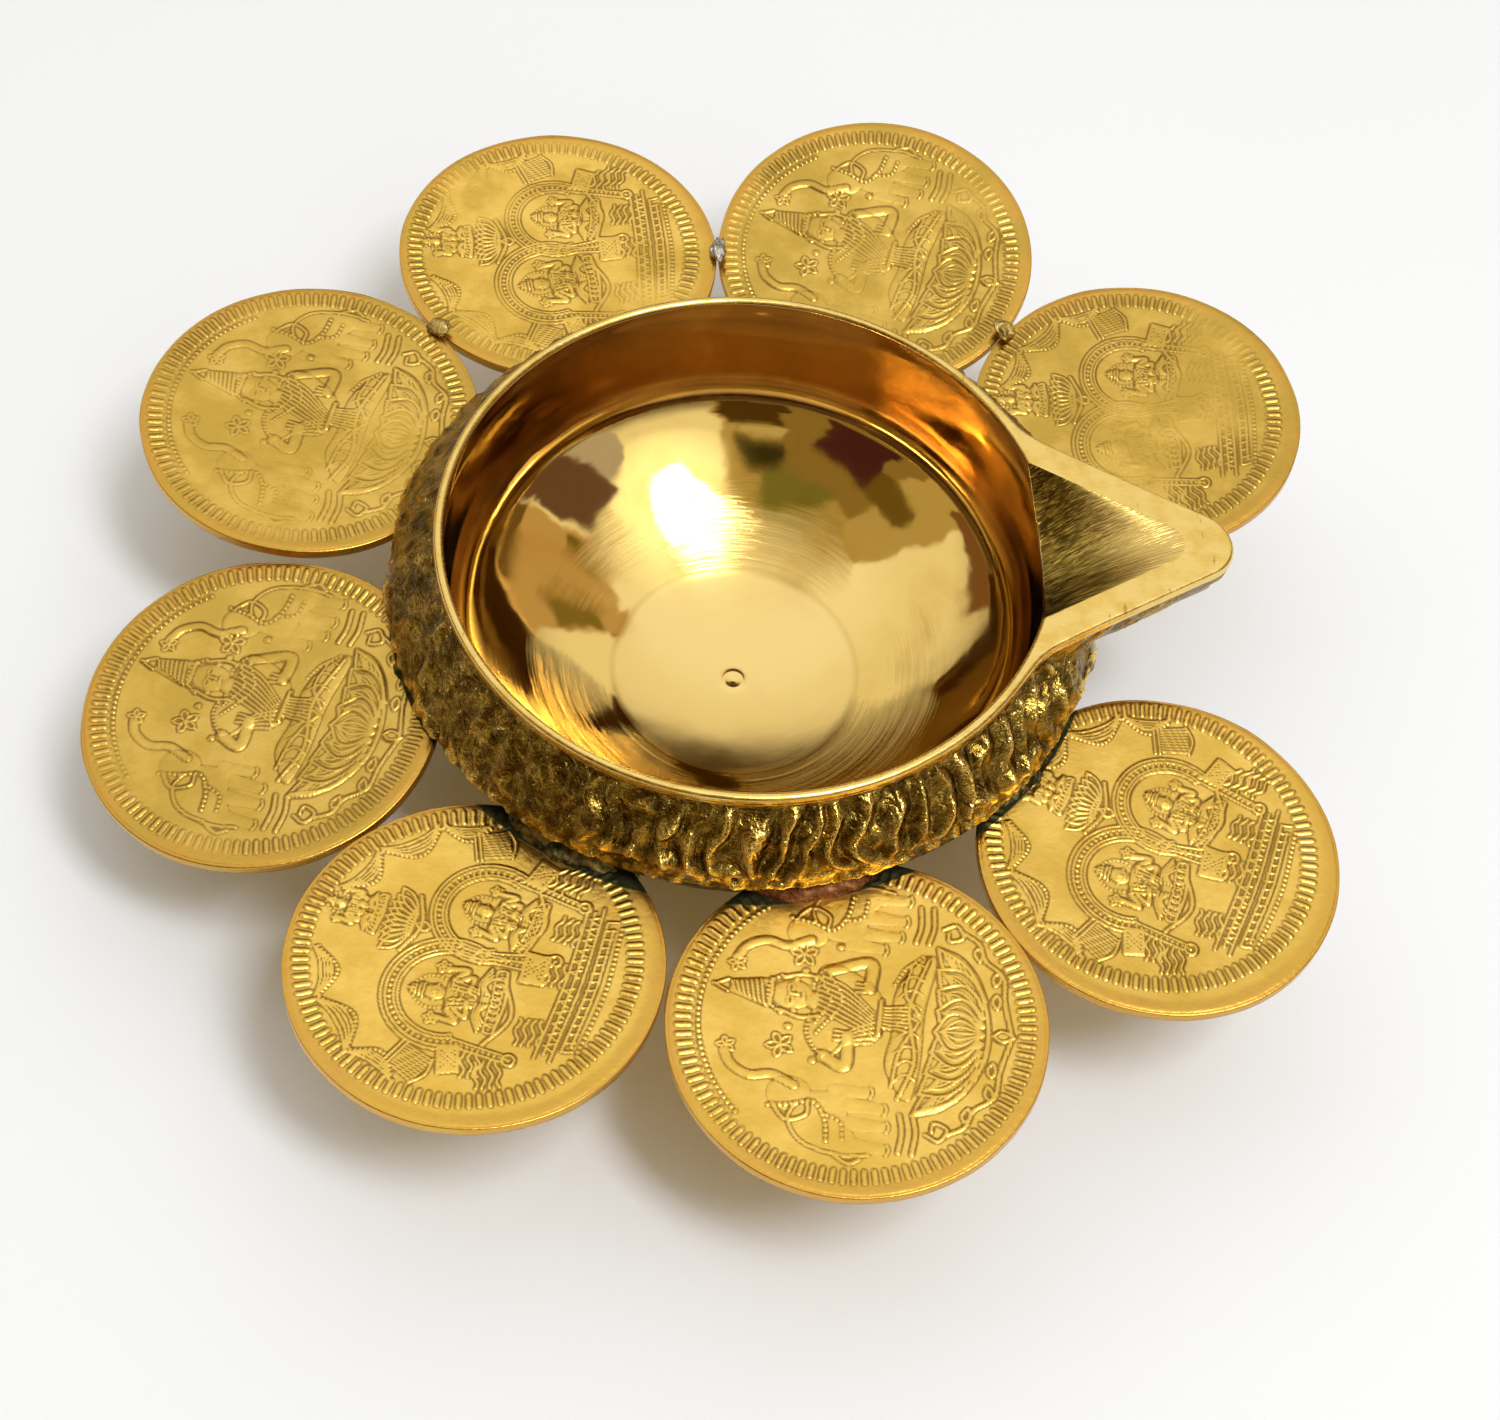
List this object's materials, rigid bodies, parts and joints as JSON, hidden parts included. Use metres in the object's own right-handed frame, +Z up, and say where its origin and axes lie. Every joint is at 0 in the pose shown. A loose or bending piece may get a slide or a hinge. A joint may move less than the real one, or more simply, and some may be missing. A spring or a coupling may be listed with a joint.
{
  "type": "oil lamp bowl with coin ring",
  "caption": "Cast brass oil lamp bowl with a pouring and wick spout, ringed by stamped brass coins soldered edge-on to its wall like petals.",
  "frame": {"origin": "middle of the foot's underside, on the bowl's axis", "axes": "+Z up along the bowl's axis, +X along the spout"},
  "size_m": [0.0955, 0.0994, 0.0237],
  "materials": {
    "bowl_brass": "polished inside and on the rim, rough as cast outside",
    "coin_brass": "satin, stamped relief, orange towards the edges",
    "solder": "dull, dark with flux and oxide"
  },
  "bodies": {
    "root": {"bowl": "bowl_brass", "coin_1": "coin_brass", "coin_1_solder": "solder", "coin_2": "coin_brass", "coin_2_solder": "solder", "coin_3": "coin_brass", "coin_3_solder": "solder", "coin_4": "coin_brass", "coin_4_solder": "solder", "coin_5": "coin_brass", "coin_5_solder": "solder", "coin_6": "coin_brass", "coin_6_solder": "solder", "coin_7": "coin_brass", "coin_7_solder": "solder", "coin_8": "coin_brass", "coin_8_solder": "solder", "tack_1_2": "solder", "tack_2_3": "solder", "tack_3_4": "solder"}
  },
  "joints": []
}
